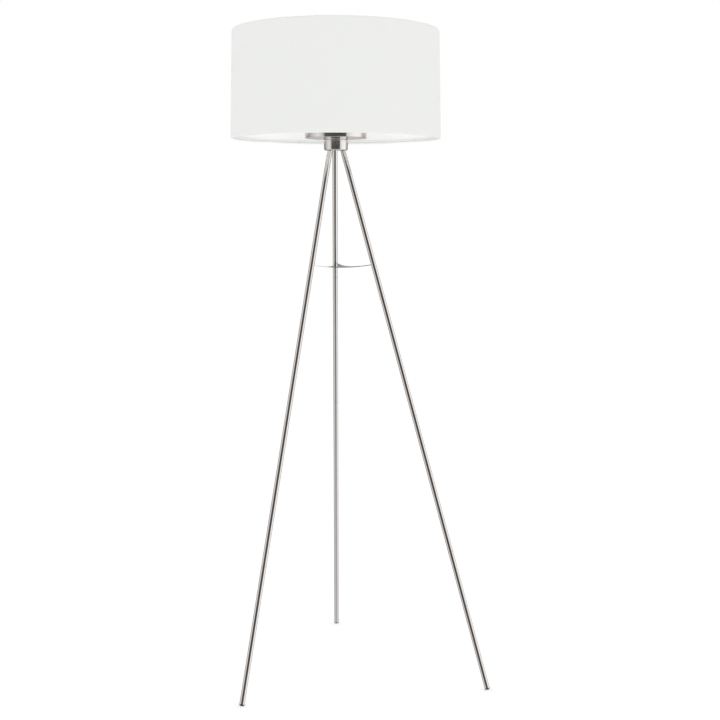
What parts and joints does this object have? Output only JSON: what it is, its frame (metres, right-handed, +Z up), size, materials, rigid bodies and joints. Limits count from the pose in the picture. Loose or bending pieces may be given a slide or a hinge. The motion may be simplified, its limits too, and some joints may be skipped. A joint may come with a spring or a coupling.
{
  "type": "tripod floor lamp",
  "caption": "Floor lamp with a white drum shade on a slim satin nickel tripod; the shade turns, and the bulb and the shade's ring nut unscrew.",
  "frame": {"origin": "point on the floor straight below the common axis of the hub, lampholder, bulb and shade", "axes": "+Z up along the lamp's axis; +Y from the front of the lamp to its back leg and cord entry; +X to the right seen from the front"},
  "size_m": [0.6203, 0.5997, 1.573],
  "materials": {
    "satin_nickel": "satin nickel plate, fine brushing along the tube",
    "zinc_steel": "bright zinc plate",
    "brass": "plain brass",
    "black_rubber": "matt moulded",
    "white_plastic": "satin moulded",
    "ceramic": "unglazed ceramic",
    "black_glass": "dark glass bead",
    "cap_metal": "rolled, nickel plated",
    "bulb_plastic": "satin moulded",
    "opal_glass": "opal",
    "light_plate": "white lacquered",
    "white_fabric": "fine plain weave",
    "white_laminate": "translucent styrene sheet",
    "white_enamel": "white powder coat"
  },
  "bodies": {
    "stand": {"cord_gland": "black_rubber", "cover_disc": "satin_nickel", "earth_screw": "brass", "earth_washer": "zinc_steel", "foot_plug_back": "black_rubber", "foot_plug_left": "black_rubber", "foot_plug_right": "black_rubber", "holder_cap": "white_plastic", "holder_centre_contact": "brass", "holder_core": "ceramic", "holder_screw_sleeve": "brass", "holder_shell": "white_plastic", "holder_terminal_screws": "zinc_steel", "hub_cup": "satin_nickel", "hub_lid": "satin_nickel", "hub_lid_screws": "zinc_steel", "leg_back_section_1": "satin_nickel", "leg_back_section_2": "satin_nickel", "leg_back_section_3": "satin_nickel", "leg_block": "zinc_steel", "leg_joint_bushes": "zinc_steel", "leg_joint_studs": "zinc_steel", "leg_left_section_1": "satin_nickel", "leg_left_section_2": "satin_nickel", "leg_left_section_3": "satin_nickel", "leg_right_section_1": "satin_nickel", "leg_right_section_2": "satin_nickel", "leg_right_section_3": "satin_nickel", "leg_spreader": "satin_nickel", "nipple": "zinc_steel", "nipple_nuts": "zinc_steel", "nipple_washer": "zinc_steel", "upper_tube_back": "satin_nickel", "upper_tube_left": "satin_nickel", "upper_tube_right": "satin_nickel"},
    "shade": {"fitter_ring": "white_enamel", "fitter_spoke_1": "white_enamel", "fitter_spoke_2": "white_enamel", "fitter_spoke_3": "white_enamel", "shade_fabric": "white_fabric", "shade_hem_bottom": "white_fabric", "shade_hem_top": "white_fabric", "shade_lining": "white_laminate", "shade_seam": "white_fabric", "shade_wire_ring_bottom": "white_enamel", "shade_wire_ring_top": "white_enamel"},
    "clamp_washer": {"shade_washer": "white_plastic"},
    "ring_nut": {"ring_nut": "white_plastic"},
    "bulb_tip": {"bulb_contact": "brass"},
    "bulb": {"bulb_cap": "cap_metal", "bulb_globe": "opal_glass", "bulb_insulator": "black_glass", "bulb_light_plate": "light_plate", "bulb_neck": "bulb_plastic"}
  },
  "joints": [
    {"name": "shade_turn", "type": "hinge", "parent": "stand", "child": "shade", "pos_m": [0, 0, 1.3608], "axis": [0, 0, 1], "continuous": true},
    {"name": "clamp_lift", "type": "slide", "parent": "stand", "child": "clamp_washer", "axis": [0, 0, 1], "range_m": [0, 0.0101]},
    {"name": "ring_turn", "type": "hinge", "parent": "clamp_washer", "child": "ring_nut", "pos_m": [0, 0, 1.3672], "axis": [0, 0, 1], "range_deg": [0, 1440]},
    {"name": "bulb_lift", "type": "slide", "parent": "stand", "child": "bulb_tip", "axis": [0, 0, 1], "range_m": [0, 0.0128]},
    {"name": "bulb_turn", "type": "hinge", "parent": "bulb_tip", "child": "bulb", "pos_m": [0, 0, 1.38], "axis": [0, 0, 1], "range_deg": [0, 1260]}
  ],
  "couplings": [
    {"joint": "clamp_lift", "follows": "ring_turn", "m_per_rad": 0.00039789},
    {"joint": "bulb_lift", "follows": "bulb_turn", "m_per_rad": 0.00057757}
  ]
}
